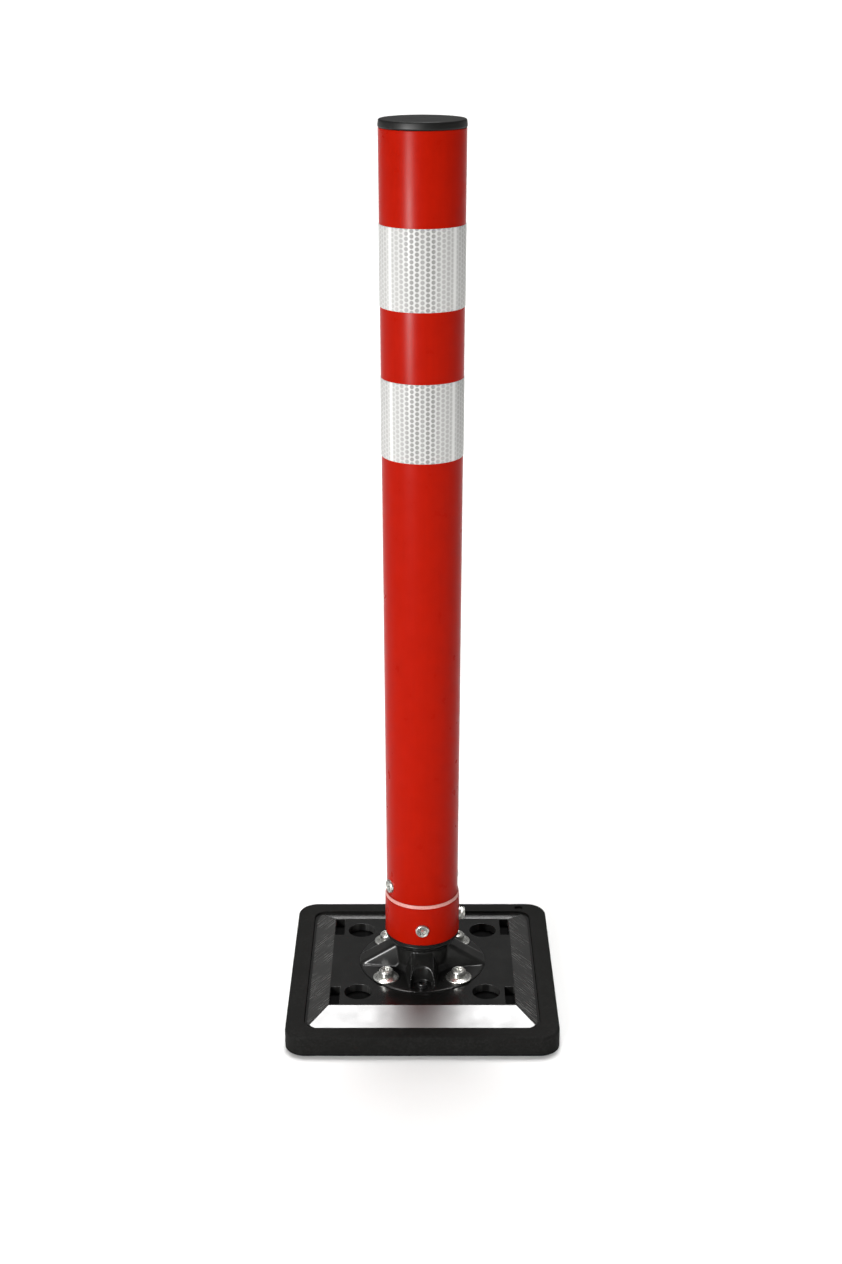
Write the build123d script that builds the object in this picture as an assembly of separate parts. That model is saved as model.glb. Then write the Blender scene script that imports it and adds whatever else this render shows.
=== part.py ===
from build123d import *
import os
from math import cos, radians, sin, sqrt, tan

# Spring-rebound delineator post on a square rubber base.
# Millimetres, +Z up, origin at the middle of the base's underside, front towards -Y.

# Rubber base
base_side = 285.0
base_corner = 22.0
base_height = 22.0
base_edge_round = 3.0
pocket_side = 246.4
pocket_corner = 14.0
pocket_floor = 17.0
pad_side = 206.0
pad_corner = 8.0
pad_top = 20.8
mark_radius = 4.5
mark_depth = 3.0
mark_place = (112.0, 131.5)

# Moulded plate on the rubber
flange_side = 245.4
flange_corner = 13.5
flange_top = 20.0
plate_recess_side = 207.0
plate_recess_top = 21.0
bevel_foot = (240.4, 242.4)
bevel_top = (197.0, 184.0)
bevel_front_corner = 12.0
bevel_rear_corner = 20.0
plate_top = 29.5
recess_radius = 15.0
recess_x = 68.0
recess_y = 65.5
slot_width = 10.5
slot_length = 35.0
slot_x = 92.75
slot_y = 73.0

# Four-ribbed socket
foot_radius = 68.5
foot_top = 31.0
core_radius = 30.0
core_foot_radius = 34.0
neck_z = 56.0
flange_radius = 38.2
flange_lip_z = 64.9
socket_top = 66.4
rib_crown_width = 23.0
rib_draft = 16.0
rib_edge_round = 4.5
rib_depth = 50.0
rib_top = (29.0, 56.0)
rib_foot = (64.0, 34.5)
scoop_radius = 12.5
scoop_place = 56.0
scoop_floor = 30.3
rib_count = 4
rib_angles = [360.0 / rib_count * i for i in range(rib_count)]
scoop_angles = [90.0, 270.0]
bolt_angles = [angle + 45.0 for angle in rib_angles]
bolt_place = 55.0
ring_bore = 24.0
ring_bore_floor = 58.7
cable_passage = 4.0
anchor_cavity_radius = 14.0
anchor_cavity_top = 50.0

# Fasteners
bolt_radius = 4.0
bolt_clearance = 4.3
bolt_head_radius = 8.0
bolt_head_height = 6.4
bolt_tip = 2.0
washer_outer = 14.0
washer_crown = 9.2
washer_top = 34.4
washer_sheet = 1.6
nut_flats = 13.0
nut_bottom = 3.0
nut_top = 9.5
nut_washer_radius = 8.5
nut_washer_top = 11.1
nut_well_radius = 12.0
screw_radius = 3.0
screw_hole = 3.02
screw_clearance = 3.3
dome_radius = 7.5
dome_height = 3.8
dome_rim = 0.8
dome_seat_sink = 0.6
screw_reach = 20.0
pocket_head_radius = 5.5
pocket_head_height = 5.0
pocket_screw_tip = 21.5
hex_key = 5.0
hex_key_depth = 3.0
lock_washer_radius = 7.6
lock_washer_height = 1.6
lock_head_height = 5.5

# Post
tube_foot_radius = 37.8
tube_head_radius = 41.8
tube_wall = 3.0
post_bottom = 70.0
tube_top = 914.0
collar_inner = 38.1
collar_outer = 39.9
collar_top = 117.4
collar_chamfer = 3.5
collar_lower_round = 0.8
collar_screw_z = 88.0
tube_screw_z = 129.5
tube_screw_bearing = -64.0
band_gap = 0.02
band_sheet = 0.4
band_height = 78.0
upper_band_bottom = 748.0
lower_band_bottom = 601.0
cap_radius = 42.3
cap_top = 922.0
cap_edge_round = 2.0
cap_skirt_outer = 38.6
cap_skirt_inner = 35.4
cap_skirt_bottom = 892.0

# Seat ring and hub
ring_radius = 39.1
ring_bottom = 66.6
ring_top = 69.7
ring_spigot = 23.95
ring_spigot_bottom = 58.9
boss_foot = 32.0
boss_head = 25.0
boss_top = 77.4
boss_clearance = 0.5
ring_mouth = 9.0
hub_radius = 34.75
hub_top = 150.0
hub_bore = 5.0
hub_mouth = 9.0
hub_mouth_top = 95.0

# Cable and spring
cable_radius = 3.0
cable_bottom = 34.0
cable_top = 285.0
swage_bore = 3.02
stop_radius = 6.5
anchor_plate_bottom = 46.0
anchor_plate_radius = 13.5
seat_washer_radius = 34.5
seat_washer_top = 153.0
spring_bottom = 153.1
spring_top = 292.9
spring_mean_radius = 22.0
spring_wire_radius = 3.0
spring_turns = 9
retainer_bottom = 293.0
retainer_top = 303.0
retainer_radius = 34.5
stud_radius = 5.0
stud_bore = 5.1
stud_bottom = 255.0
stud_top = 322.0
stud_nut_flats = 17.0
tension_nut_top = 311.0
jam_nut_top = 316.0


def disc(radius, bottom, top):
    """Upright cylinder between two heights."""
    return Pos(0, 0, bottom) * extrude(Circle(radius), top - bottom)


def ring(inner, outer, bottom, top):
    """Upright tube between two heights."""
    return Pos(0, 0, bottom) * extrude(Circle(outer) - Circle(inner), top - bottom)


def tube_outside(z):
    """Outer radius of the tube at a height: it widens evenly from its foot to its head."""
    share = (z - post_bottom) / (tube_top - post_bottom)
    return tube_foot_radius + share * (tube_head_radius - tube_foot_radius)


def sleeve(bottom, top, inner, outer):
    """Tapered tube between two heights, at two distances from the post tube's outside."""
    return turned([
        (tube_outside(bottom) + inner, bottom),
        (tube_outside(bottom) + outer, bottom),
        (tube_outside(top) + outer, top),
        (tube_outside(top) + inner, top),
    ])


def slab(side, corner, bottom, top):
    """Square slab with rounded corners between two heights."""
    return Pos(0, 0, bottom) * extrude(RectangleRounded(side, side, corner), top - bottom)


def turned(points):
    """Solid of revolution about Z from (radius, height) points."""
    return revolve(make_face(Plane.XZ * Polyline(*points, close=True)), Axis.Z)


def hexagon(flats, bottom, top):
    """Upright hexagonal prism measured across its flats."""
    return Pos(0, 0, bottom) * extrude(RegularPolygon(flats / 2, 6, major_radius=False), top - bottom)


def around(shape, radius, angles):
    """Copies of a shape standing on a circle, one at each angle."""
    return [Rot(0, 0, angle) * Pos(radius, 0, 0) * shape for angle in angles]


def outward(shape, radius, height, bearing):
    """Turns a shape's +Z to point out of the post, with its origin at a radius and height.

    The bearing is measured from the front, positive towards +X.
    """
    out = (sin(radians(bearing)), -cos(radians(bearing)), 0)
    place = (radius * out[0], radius * out[1], height)
    return Plane(origin=place, x_dir=(0, 0, 1), z_dir=out).location * shape


def four_corners(shape, x, y):
    """Copies of a shape at the corners of a rectangle."""
    return [Pos(sx * x, sy * y, 0) * shape for sx in (-1, 1) for sy in (-1, 1)]


def rubber_base():
    body = slab(base_side, base_corner, 0, base_height)
    top_edges = body.edges().group_by(Axis.Z)[-1]
    body = fillet(top_edges, base_edge_round)
    body -= slab(pocket_side, pocket_corner, pocket_floor, base_height + 1)
    body += slab(pad_side, pad_corner, pocket_floor, pad_top)
    body -= Pos(*mark_place, 0) * disc(mark_radius, base_height - mark_depth, base_height + 1)
    for hole in around(disc(bolt_clearance, -1, base_height + 1), bolt_place, bolt_angles):
        body -= hole
    for well in around(disc(nut_well_radius, -1, nut_washer_top), bolt_place, bolt_angles):
        body -= well
    return body


def base_plate():
    foot = Pos(0, 0, flange_top) * Rectangle(*bevel_foot)
    crown = Pos(0, 0, plate_top) * Rectangle(*bevel_top)
    raised = loft([foot.face(), crown.face()], ruled=True)
    outline = Pos(0, 0, pocket_floor) * extrude(Rectangle(*bevel_foot), plate_top - pocket_floor)
    upright = outline.edges().filter_by(Axis.Z).group_by(Axis.Y)
    outline = fillet(upright[0], bevel_front_corner)
    upright = outline.edges().filter_by(Axis.Z).group_by(Axis.Y)
    outline = fillet(upright[-1], bevel_rear_corner)
    body = slab(flange_side, flange_corner, pocket_floor, flange_top)
    body += raised & outline
    body -= slab(plate_recess_side, pad_corner, pocket_floor - 1, plate_recess_top)
    for recess in four_corners(disc(recess_radius, 0, plate_top + 1), recess_x, recess_y):
        body -= recess
    slot = extrude(RectangleRounded(slot_width, slot_length, 1.0), plate_top + 1)
    for opening in four_corners(slot, slot_x, slot_y):
        body -= opening
    for hole in around(disc(bolt_clearance, 0, plate_top + 1), bolt_place, bolt_angles):
        body -= hole
    for hole in around(disc(screw_hole, 0, plate_top + 1), scoop_place, scoop_angles):
        body -= hole
    return body


def rib():
    """Sloping bar with drafted sides and rounded top edges, cut to the plan of the round foot."""
    rise = (rib_top[1] - rib_foot[1]) / (rib_foot[0] - rib_top[0])
    run = 1 / sqrt(1 + rise * rise)
    along = (run, 0, -rise * run)
    across = Plane(origin=(rib_top[0], 0, rib_top[1]), x_dir=(0, 1, 0), z_dir=along)
    crown = rib_crown_width / 2
    spread = crown + rib_depth * tan(radians(rib_draft))
    corners = [(-crown, 0), (crown, 0), (spread, -rib_depth), (-spread, -rib_depth)]
    section = make_face(Polyline(*corners, close=True))
    section = fillet(section.vertices().group_by(Axis.Y)[-1], rib_edge_round)
    bar = extrude(across * section, foot_radius, both=True)
    plan = (Pos(foot_radius / 2, 0) * Rectangle(foot_radius, 2 * foot_radius)) & Circle(foot_radius)
    return bar & Pos(0, 0, plate_top) * extrude(plan, neck_z - plate_top)


def scoop():
    """Round well at a rib's foot, open outwards above the foot's rim."""
    well = Pos(scoop_place, 0, 0) * disc(scoop_radius, scoop_floor, neck_z)
    way_out = Pos(scoop_place + foot_radius / 2, 0, (foot_top + neck_z) / 2) * Box(
        foot_radius, 2 * scoop_radius, neck_z - foot_top
    )
    return well + way_out


def post_socket():
    body = turned([
        (0, plate_top),
        (foot_radius, plate_top),
        (foot_radius, foot_top - 1),
        (foot_radius - 1, foot_top),
        (core_foot_radius, foot_top),
        (core_radius, foot_top + 5),
        (core_radius, neck_z),
        (flange_radius, flange_lip_z),
        (flange_radius, socket_top),
        (0, socket_top),
    ])
    for angle in rib_angles:
        body += Rot(0, 0, angle) * rib()
    for angle in scoop_angles:
        body -= Rot(0, 0, angle) * scoop()
    body -= disc(ring_bore, ring_bore_floor, socket_top + 1)
    body -= disc(cable_passage, plate_top - 1, socket_top)
    body -= disc(anchor_cavity_radius, plate_top - 1, anchor_cavity_top)
    for hole in around(disc(bolt_clearance, 0, foot_top + 1), bolt_place, bolt_angles):
        body -= hole
    for hole in around(disc(screw_clearance, 0, foot_top + 1), scoop_place, scoop_angles):
        body -= hole
    return body


def hex_socket(top):
    """Cutter for a hexagonal key socket in a screw's head."""
    return hexagon(hex_key, top - hex_key_depth, top + 1)


def anchor_bolt():
    head_top = washer_top + bolt_head_height
    head = disc(bolt_head_radius, washer_top, head_top)
    head = chamfer(head.edges().group_by(Axis.Z)[-1], 0.8)
    return head - hex_socket(head_top) + disc(bolt_radius, bolt_tip, washer_top)


def anchor_washer():
    return turned([
        (bolt_clearance, washer_top - washer_sheet),
        (washer_crown, washer_top - washer_sheet),
        (washer_outer - 1, foot_top),
        (washer_outer, foot_top),
        (washer_outer, foot_top + 1),
        (washer_crown + 0.8, washer_top),
        (bolt_clearance, washer_top),
    ])


def anchor_nut():
    return hexagon(nut_flats, nut_bottom, nut_top) - disc(bolt_radius, 0, nut_top + 1)


def pocket_screw():
    head_top = scoop_floor + pocket_head_height
    head = disc(pocket_head_radius, scoop_floor, head_top)
    head = fillet(head.edges().group_by(Axis.Z)[-1], 1.5)
    return head - hex_socket(head_top) + disc(screw_radius, pocket_screw_tip, scoop_floor)


def cable_anchor_plate():
    return ring(cable_passage, anchor_plate_radius, anchor_plate_bottom, anchor_cavity_top)


def lower_cable_stop():
    return ring(swage_bore, stop_radius, cable_bottom, anchor_plate_bottom)


def seat_ring():
    """Flat ring with a spigot below and a hollow centring cone above."""
    return turned([
        (cable_passage, ring_spigot_bottom),
        (ring_spigot, ring_spigot_bottom),
        (ring_spigot, ring_bottom),
        (ring_radius, ring_bottom),
        (ring_radius, ring_top),
        (boss_foot, ring_top),
        (boss_head, boss_top),
        (ring_mouth, boss_top),
        (cable_passage, ring_top),
    ])


def dome_head():
    """Low dome on a short rim, with a six-lobed key recess."""
    sphere_radius = (dome_radius**2 + (dome_height - dome_rim) ** 2) / (2 * (dome_height - dome_rim))
    sphere_centre = dome_height - sphere_radius
    head = disc(dome_radius, 0, dome_height) & Pos(0, 0, sphere_centre) * Sphere(sphere_radius)
    lobes = Circle(2.4)
    for angle in range(0, 360, 60):
        lobes += Rot(0, 0, angle) * Pos(2.4, 0) * Circle(0.8)
    return head - Pos(0, 0, dome_height - 2.0) * extrude(lobes, 3.0)


def dome_screw():
    return dome_head() + disc(screw_radius, -screw_reach, 0)


def screw_way(clearance):
    """Cutter for a dome screw's spot face and hole."""
    return disc(dome_radius + 0.05, 0, dome_height) + disc(clearance, -screw_reach - 1, 0)


def collar_screw_bearings():
    return [0.0, 180.0]


def tube_screw_bearings():
    return [tube_screw_bearing, tube_screw_bearing + 180.0]


def collar_screws():
    seat = collar_outer - dome_seat_sink
    return [outward(dome_screw(), seat, collar_screw_z, b) for b in collar_screw_bearings()]


def tube_screws():
    seat = tube_outside(tube_screw_z) - dome_seat_sink
    return [outward(dome_screw(), seat, tube_screw_z, b) for b in tube_screw_bearings()]


def lock_washer():
    washer = ring(bolt_clearance, lock_washer_radius, 0, lock_washer_height)
    return outward(washer, collar_outer - dome_seat_sink, collar_screw_z, 90.0)


def lock_bolt():
    head = hexagon(nut_flats, lock_washer_height, lock_washer_height + lock_head_height)
    bolt = head + disc(bolt_radius, -screw_reach, lock_washer_height)
    return outward(bolt, collar_outer - dome_seat_sink, collar_screw_z, 90.0)


def lock_way(clearance):
    """Cutter for the lock bolt's spot face and hole."""
    return disc(lock_washer_radius + 0.05, 0, lock_washer_height) + disc(clearance, -screw_reach - 1, 0)


def with_collar_holes(body, clearance, lock_clearance):
    """Cuts the holes of the collar's screws and of the lock bolt."""
    seat = collar_outer - dome_seat_sink
    for bearing in collar_screw_bearings():
        body -= outward(screw_way(clearance), seat, collar_screw_z, bearing)
    return body - outward(lock_way(lock_clearance), seat, collar_screw_z, 90.0)


def with_tube_holes(body, clearance):
    """Cuts the holes of the tube's own screws."""
    seat = tube_outside(tube_screw_z) - dome_seat_sink
    for bearing in tube_screw_bearings():
        body -= outward(screw_way(clearance), seat, tube_screw_z, bearing)
    return body


def collar():
    body = turned([
        (collar_inner, post_bottom),
        (collar_outer - collar_lower_round, post_bottom),
        (collar_outer, post_bottom + collar_lower_round),
        (collar_outer, collar_top - collar_chamfer),
        (collar_inner + 0.3, collar_top),
        (collar_inner, collar_top),
    ])
    return with_collar_holes(body, screw_clearance, bolt_clearance)


def post_tube():
    body = sleeve(post_bottom, tube_top, -tube_wall, 0)
    return with_tube_holes(with_collar_holes(body, screw_clearance, bolt_clearance), screw_clearance)


def foot_hub():
    """Plug with a conical recess that drops over the seat ring's cone."""
    body = disc(hub_radius, post_bottom, hub_top)
    recess_top = boss_top + boss_clearance
    body -= turned([
        (0, post_bottom - 1),
        (boss_foot + boss_clearance, post_bottom - 1),
        (boss_foot + boss_clearance, post_bottom),
        (boss_head + boss_clearance, recess_top),
        (hub_mouth, recess_top),
        (hub_bore, hub_mouth_top),
        (hub_bore, hub_top + 1),
        (0, hub_top + 1),
    ])
    return with_tube_holes(with_collar_holes(body, screw_hole, bolt_radius + 0.02), screw_hole)


def top_cap():
    rim = disc(cap_radius, tube_top, cap_top)
    rim = fillet(rim.edges().group_by(Axis.Z)[-1], cap_edge_round)
    return rim + ring(cap_skirt_inner, cap_skirt_outer, cap_skirt_bottom, tube_top)


def reflective_band(bottom):
    return sleeve(bottom, bottom + band_height, band_gap, band_gap + band_sheet)


def tension_cable():
    return disc(cable_radius, cable_bottom, cable_top)


def rebound_spring():
    """Round wire on a helix between the seat washer and the retainer."""
    height = spring_top - spring_bottom - 2 * spring_wire_radius
    pitch = height / spring_turns
    path = Pos(0, 0, spring_bottom + spring_wire_radius) * Helix(pitch, height, spring_mean_radius)
    section = Plane(origin=path @ 0, z_dir=path % 0) * Circle(spring_wire_radius)
    return sweep(section, path=path, is_frenet=True)


def cable_stud():
    """Threaded rod with a swaged socket for the cable in its lower end."""
    return disc(stud_radius, stud_bottom, stud_top) - disc(swage_bore, stud_bottom - 1, cable_top)


def stud_nut(bottom, top):
    return hexagon(stud_nut_flats, bottom, top) - disc(stud_radius, bottom - 1, top + 1)


def group(solids):
    """Separate identical pieces kept as one node."""
    return Compound(children=[s for shape in solids for s in shape.solids()])


nodes = {
    "rubber_base": rubber_base(),
    "base_plate": base_plate(),
    "post_socket": post_socket(),
    "anchor_bolts": group(around(anchor_bolt(), bolt_place, bolt_angles)),
    "anchor_washers": group(around(anchor_washer(), bolt_place, bolt_angles)),
    "anchor_nuts": group(around(anchor_nut(), bolt_place, bolt_angles)),
    "nut_washers": group(
        around(ring(bolt_clearance, nut_washer_radius, nut_top, nut_washer_top), bolt_place, bolt_angles)
    ),
    "pocket_screws": group(around(pocket_screw(), scoop_place, scoop_angles)),
    "cable_anchor_plate": cable_anchor_plate(),
    "lower_cable_stop": lower_cable_stop(),
    "seat_ring": seat_ring(),
    "post_tube": post_tube(),
    "collar": collar(),
    "collar_screws": group(collar_screws()),
    "lock_bolt": lock_bolt(),
    "lock_washer": lock_washer(),
    "tube_screws": group(tube_screws()),
    "reflective_band_upper": reflective_band(upper_band_bottom),
    "reflective_band_lower": reflective_band(lower_band_bottom),
    "top_cap": top_cap(),
    "foot_hub": foot_hub(),
    "tension_cable": tension_cable(),
    "rebound_spring": rebound_spring(),
    "spring_seat_washer": ring(hub_bore + 0.5, seat_washer_radius, hub_top, seat_washer_top),
    "spring_retainer": ring(stud_bore, retainer_radius, retainer_bottom, retainer_top),
    "cable_stud": cable_stud(),
    "tension_nut": stud_nut(retainer_top, tension_nut_top),
    "jam_nut": stud_nut(tension_nut_top, jam_nut_top),
}

os.makedirs("parts", exist_ok=True)
for node, shape in nodes.items():
    export_step(shape, f"parts/{node}.step")
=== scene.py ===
from math import atan2, cos, pi, radians, sin, sqrt, tau

import bmesh
import bpy
import numpy as np
from bpy.props import FloatProperty, IntProperty, PointerProperty, StringProperty
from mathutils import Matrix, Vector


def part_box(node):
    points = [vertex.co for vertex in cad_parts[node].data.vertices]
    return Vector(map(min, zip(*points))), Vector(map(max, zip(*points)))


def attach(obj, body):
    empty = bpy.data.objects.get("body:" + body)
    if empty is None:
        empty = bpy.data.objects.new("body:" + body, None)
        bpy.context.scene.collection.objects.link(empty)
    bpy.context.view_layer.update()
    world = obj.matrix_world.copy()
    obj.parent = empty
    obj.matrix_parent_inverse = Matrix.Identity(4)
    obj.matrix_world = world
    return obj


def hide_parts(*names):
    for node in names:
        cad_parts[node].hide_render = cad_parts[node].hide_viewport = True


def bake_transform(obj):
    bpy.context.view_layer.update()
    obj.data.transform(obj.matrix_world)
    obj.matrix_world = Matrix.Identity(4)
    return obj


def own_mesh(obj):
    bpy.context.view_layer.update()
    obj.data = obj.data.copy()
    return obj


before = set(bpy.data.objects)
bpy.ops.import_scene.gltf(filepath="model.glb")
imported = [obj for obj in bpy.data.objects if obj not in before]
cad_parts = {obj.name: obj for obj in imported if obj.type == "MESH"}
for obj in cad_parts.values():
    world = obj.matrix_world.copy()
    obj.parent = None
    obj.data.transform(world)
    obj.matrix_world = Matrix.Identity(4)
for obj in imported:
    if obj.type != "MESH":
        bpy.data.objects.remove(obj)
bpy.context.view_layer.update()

bl_info = {
    "name": "Delineator Post",
    "version": (1, 0, 0),
    "blender": (4, 5, 0),
    "location": "3D View > Sidebar > Post",
    "description": "Looks for a spring-rebound delineator post on a square rubber base",
    "category": "Object",
}

MM = 0.001
FACE = 0.74  # a head's flat face as a share of its radius


def high(node):
    """Highest z of a CAD node, in metres."""
    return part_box(node)[1].z


def low(node):
    """Lowest z of a CAD node, in metres."""
    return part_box(node)[0].z


def outer(node):
    """Half the width of a CAD node along x, in metres."""
    return (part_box(node)[1].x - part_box(node)[0].x) / 2


def vertices_of(mesh):
    """A mesh's points as rows of x, y, z."""
    flat = np.empty(len(mesh.vertices) * 3)
    mesh.vertices.foreach_get("co", flat)
    return flat.reshape(-1, 3)


def radii_at(node, z, reach=0.02 * MM):
    """Smallest and largest distance from the Z axis of a CAD node's points at a height."""
    points = vertices_of(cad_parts[node].data)
    level = points[np.abs(points[:, 2] - z) < reach]
    distance = np.hypot(level[:, 0], level[:, 1])
    return distance.min(), distance.max()


# ---------------------------------------------------------------- settings


def length(name, description, default):
    """A length in metres with its name and description."""
    return FloatProperty(name=name, description=description, default=default, unit="LENGTH", precision=5)


def shade(name, description, default):
    """A colour written as an sRGB hex value."""
    return StringProperty(name=name, description=description, default=default)


class PostSizes(bpy.types.PropertyGroup):
    rubber_edge: length("Rubber edge", "Round on the edges of the rubber", 0.6 * MM)
    mould_edge: length("Mould edge", "Round on the edges of the plate and the seat ring", 0.18 * MM)
    socket_voxel: length("Socket voxel", "Grain of the socket's skin before it is smoothed", 0.8 * MM)
    socket_smooth: IntProperty(
        name="Socket smoothing", description="Passes that round the socket", default=14)
    wall: length("Tube wall", "Thickness of the red tube", 3.0 * MM)
    chamfer: length("Collar chamfer", "Height of the collar's pale top edge", 3.5 * MM)
    head_radius: length("Screw head", "Radius of a dome screw's head", 7.5 * MM)
    bolt_head: length("Bolt head", "Radius of an anchor bolt's head", 8.0 * MM)
    washer: length("Washer", "Radius of an anchor bolt's washer", 14.0 * MM)
    cell_pitch: length("Cell pitch", "Height of one cell of the reflective sheeting", 4.75 * MM)
    cell_dot: length("Cell dot", "Radius of the grey dot in a cell", 2.1 * MM)
    cell_columns: IntProperty(
        name="Cell columns", description="Columns of cells round the tube, even", default=50)
    strand: length("Strand", "Radius of one strand of the tension cable", 0.95 * MM)
    lay_length: length("Lay length", "Height in which a strand goes once round the cable", 28 * MM)
    cable_split: length("Cable split", "Height at which the cable's two pieces meet", 95 * MM)
    spring_travel: length("Spring travel", "How far the cable pulls the spring's retainer down", 56.5 * MM)
    spring_wire: length("Spring wire", "Radius of the spring's wire", 3 * MM)


class PostColours(bpy.types.PropertyGroup):
    red: shade("Red", "Tube and collar", "#A91503")
    # pale edge: partly the cut edge's own colour, partly a painted highlight on the collar's chamfer
    pale_edge_and_painted_highlight: shade("Pale edge", "Cut edge of the collar", "#E3A49C")
    rubber: shade("Rubber", "Recycled rubber", "#1A1A19")
    gloss_black: shade("Gloss black", "Plate and socket", "#191918")
    satin_black: shade("Satin black", "Cap and seat ring", "#0F0F0E")
    sheeting: shade("Sheeting", "Reflective bands", "#CACAC8")
    zinc: shade("Zinc", "Bolts and screws", "#E6E6E1")


class StageSettings(bpy.types.PropertyGroup):
    camera_distance: length("Camera distance", "From the post's axis, along the floor", 1.783)
    camera_height: length("Camera height", "Above the floor", 1.075)
    camera_pitch: FloatProperty(
        name="Camera pitch", description="Downwards", default=radians(20.37), subtype="ANGLE")
    focal: FloatProperty(name="Focal length", description="In millimetres on a 36 mm sensor", default=52.9)
    floor: shade("Floor", "Plain pale floor", "#F7F7F6")


def sizes():
    """The post's sizes."""
    return bpy.context.scene.post_sizes


def colours():
    """The post's colours."""
    return bpy.context.scene.post_colours


# ---------------------------------------------------------------- shapes


def rounded(corners, steps=5):
    """A profile through (x, z, radius) corners, each turned into an arc of that radius.

    At each corner the arc leaves the line one tangent length before it and joins the next line
    one tangent length after, and its points come from turning about the arc's centre.
    """
    corners = np.array(corners, float)
    points = corners[:, :2]
    out = [points[0]]
    for before, here, after, radius in zip(points[:-2], points[1:-1], points[2:], corners[1:-1, 2]):
        a = (before - here) / np.linalg.norm(before - here)
        b = (after - here) / np.linalg.norm(after - here)
        half = np.arccos(np.clip(a @ b, -1, 1)) / 2
        if radius <= 0 or half > pi / 2 - 1e-3:
            out.append(here)
            continue
        reach = radius / np.tan(half)
        centre = here + (a + b) / np.linalg.norm(a + b) * radius / np.sin(half)
        start, end = here + a * reach - centre, here + b * reach - centre
        turn = atan2(start[0] * end[1] - start[1] * end[0], start @ end)
        for angle in np.linspace(0, turn, steps + 1):
            c, s = cos(angle), sin(angle)
            out.append(centre + np.array([c * start[0] - s * start[1], s * start[0] + c * start[1]]))
    out.append(points[-1])
    return np.array(out)


def ring_profile(corners, steps=5):
    """A closed profile of rounded corners, which starts and ends in the middle of its first side."""
    first, last = np.array(corners[0], float), np.array(corners[-1], float)
    middle = (*((first[:2] + last[:2]) / 2), 0)
    return rounded([middle, *corners, middle], steps)[:-1]


def grid_faces(rows, columns, close_rows=False, close_columns=True):
    """Quads of a grid of rows by columns, joined end to end where asked."""
    i = np.arange(rows if close_rows else rows - 1)[:, None]
    j = np.arange(columns if close_columns else columns - 1)[None, :]
    up, right = (i + 1) % rows, (j + 1) % columns
    quads = [i * columns + j, i * columns + right, up * columns + right, up * columns + j]
    return np.stack([np.broadcast_to(q, (i.size, j.size)) for q in quads], axis=-1).reshape(-1, 4)


def turned(profile, segments=96, shape=None, close=False):
    """Surface of revolution of an (r, z) profile: x = r cos a, y = r sin a, for angles a round Z.

    shape, if given, takes the angles and the radii and returns the radii, for hexagons and lobes.
    """
    profile = np.asarray(profile, float)
    angle = np.arange(segments) * tau / segments
    radius = np.repeat(profile[:, :1], segments, axis=1)
    if shape is not None:
        radius = shape(angle[None, :], radius)
    x, y = radius * np.cos(angle), radius * np.sin(angle)
    z = np.repeat(profile[:, 1:2], segments, axis=1)
    return np.stack([x, y, z], -1).reshape(-1, 3), grid_faces(len(profile), segments, close_rows=close)


def joined(*shapes):
    """Several (vertices, faces) shapes as one."""
    vertices, faces, count = [], [], 0
    for points, quads in shapes:
        vertices.append(points)
        faces.append(quads + count)
        count += len(points)
    return np.concatenate(vertices), np.concatenate(faces)


def moved(shape, offset=(0, 0, 0), axes=None):
    """A shape with its own x, y, z turned to the given axes and then moved."""
    points, quads = shape
    if axes is not None:
        points = points @ np.array(axes, float)
    return points + np.array(offset, float), quads


def out_of_post(shape, radius, height, bearing):
    """A shape's z turned to point out of the post at a bearing from the front, positive towards +X."""
    out = np.array([sin(bearing), -cos(bearing), 0.0])
    up = np.array([0.0, 0.0, 1.0])
    return moved(shape, out * radius + up * height, (np.cross(up, out), up, out))


def ring_of(shape, radius, angles):
    """Copies of a shape standing on a circle about Z, one at each angle."""
    copies = []
    for a in angles:
        axes = ((cos(a), sin(a), 0), (-sin(a), cos(a), 0), (0, 0, 1))
        copies.append(moved(shape, (radius * cos(a), radius * sin(a), 0), axes))
    return joined(*copies)


def hexagon_above(limit):
    """Shape for turned: radii past a limit follow the hexagon whose corners lie on that radius."""

    def shape(angle, radius):
        across = np.cos((angle + pi / 6) % (pi / 3) - pi / 6)
        return np.where(radius > limit, radius * cos(pi / 6) / across, radius)

    return shape


def lobed_below(limit, lobes, depth):
    """Shape for turned: radii below a limit are multiplied by 1 + depth cos(lobes a)."""

    def shape(angle, radius):
        return np.where(radius < limit, radius * (1 + depth * np.cos(lobes * angle)), radius)

    return shape


# ---------------------------------------------------------------- meshes


def new_object(name, mesh, body, nodes, slot, *materials):
    """Puts a mesh in the scene on a body, in place of CAD nodes, with its materials; the slot is not used."""
    obj = bpy.data.objects.new(name, mesh)
    bpy.context.scene.collection.objects.link(obj)
    mesh.materials.clear()
    for material in materials:
        mesh.materials.append(material)
    if body is not None:
        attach(obj, body)
    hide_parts(*nodes)
    return obj


def cleaned(mesh, flat=None):
    """Merges points that coincide, as at a pole, drops collapsed faces and points all faces outwards.

    flat, if given, is the angle under which faces that lie in one plane become one.
    """
    work = bmesh.new()
    work.from_mesh(mesh)
    bmesh.ops.remove_doubles(work, verts=work.verts, dist=0.0005 * MM)
    bmesh.ops.dissolve_degenerate(work, edges=work.edges, dist=0.0005 * MM)
    if flat is not None:
        bmesh.ops.dissolve_limit(work, angle_limit=flat, verts=work.verts, edges=work.edges)
    bmesh.ops.recalc_face_normals(work, faces=work.faces)
    work.to_mesh(mesh)
    work.free()
    mesh.polygons.foreach_set("use_smooth", [True] * len(mesh.polygons))
    mesh.update()


def piece(name, shape, body, nodes, slot, *materials, smooth=32.0):
    """Makes a mesh object of a shape, with smooth shading up to a sharp angle."""
    vertices, faces = shape
    mesh = bpy.data.meshes.new(name)
    mesh.from_pydata(vertices.tolist(), [], faces.tolist())
    cleaned(mesh)
    mesh.set_sharp_from_angle(angle=radians(smooth))
    return new_object(name, mesh, body, nodes, slot, *materials)


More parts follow.
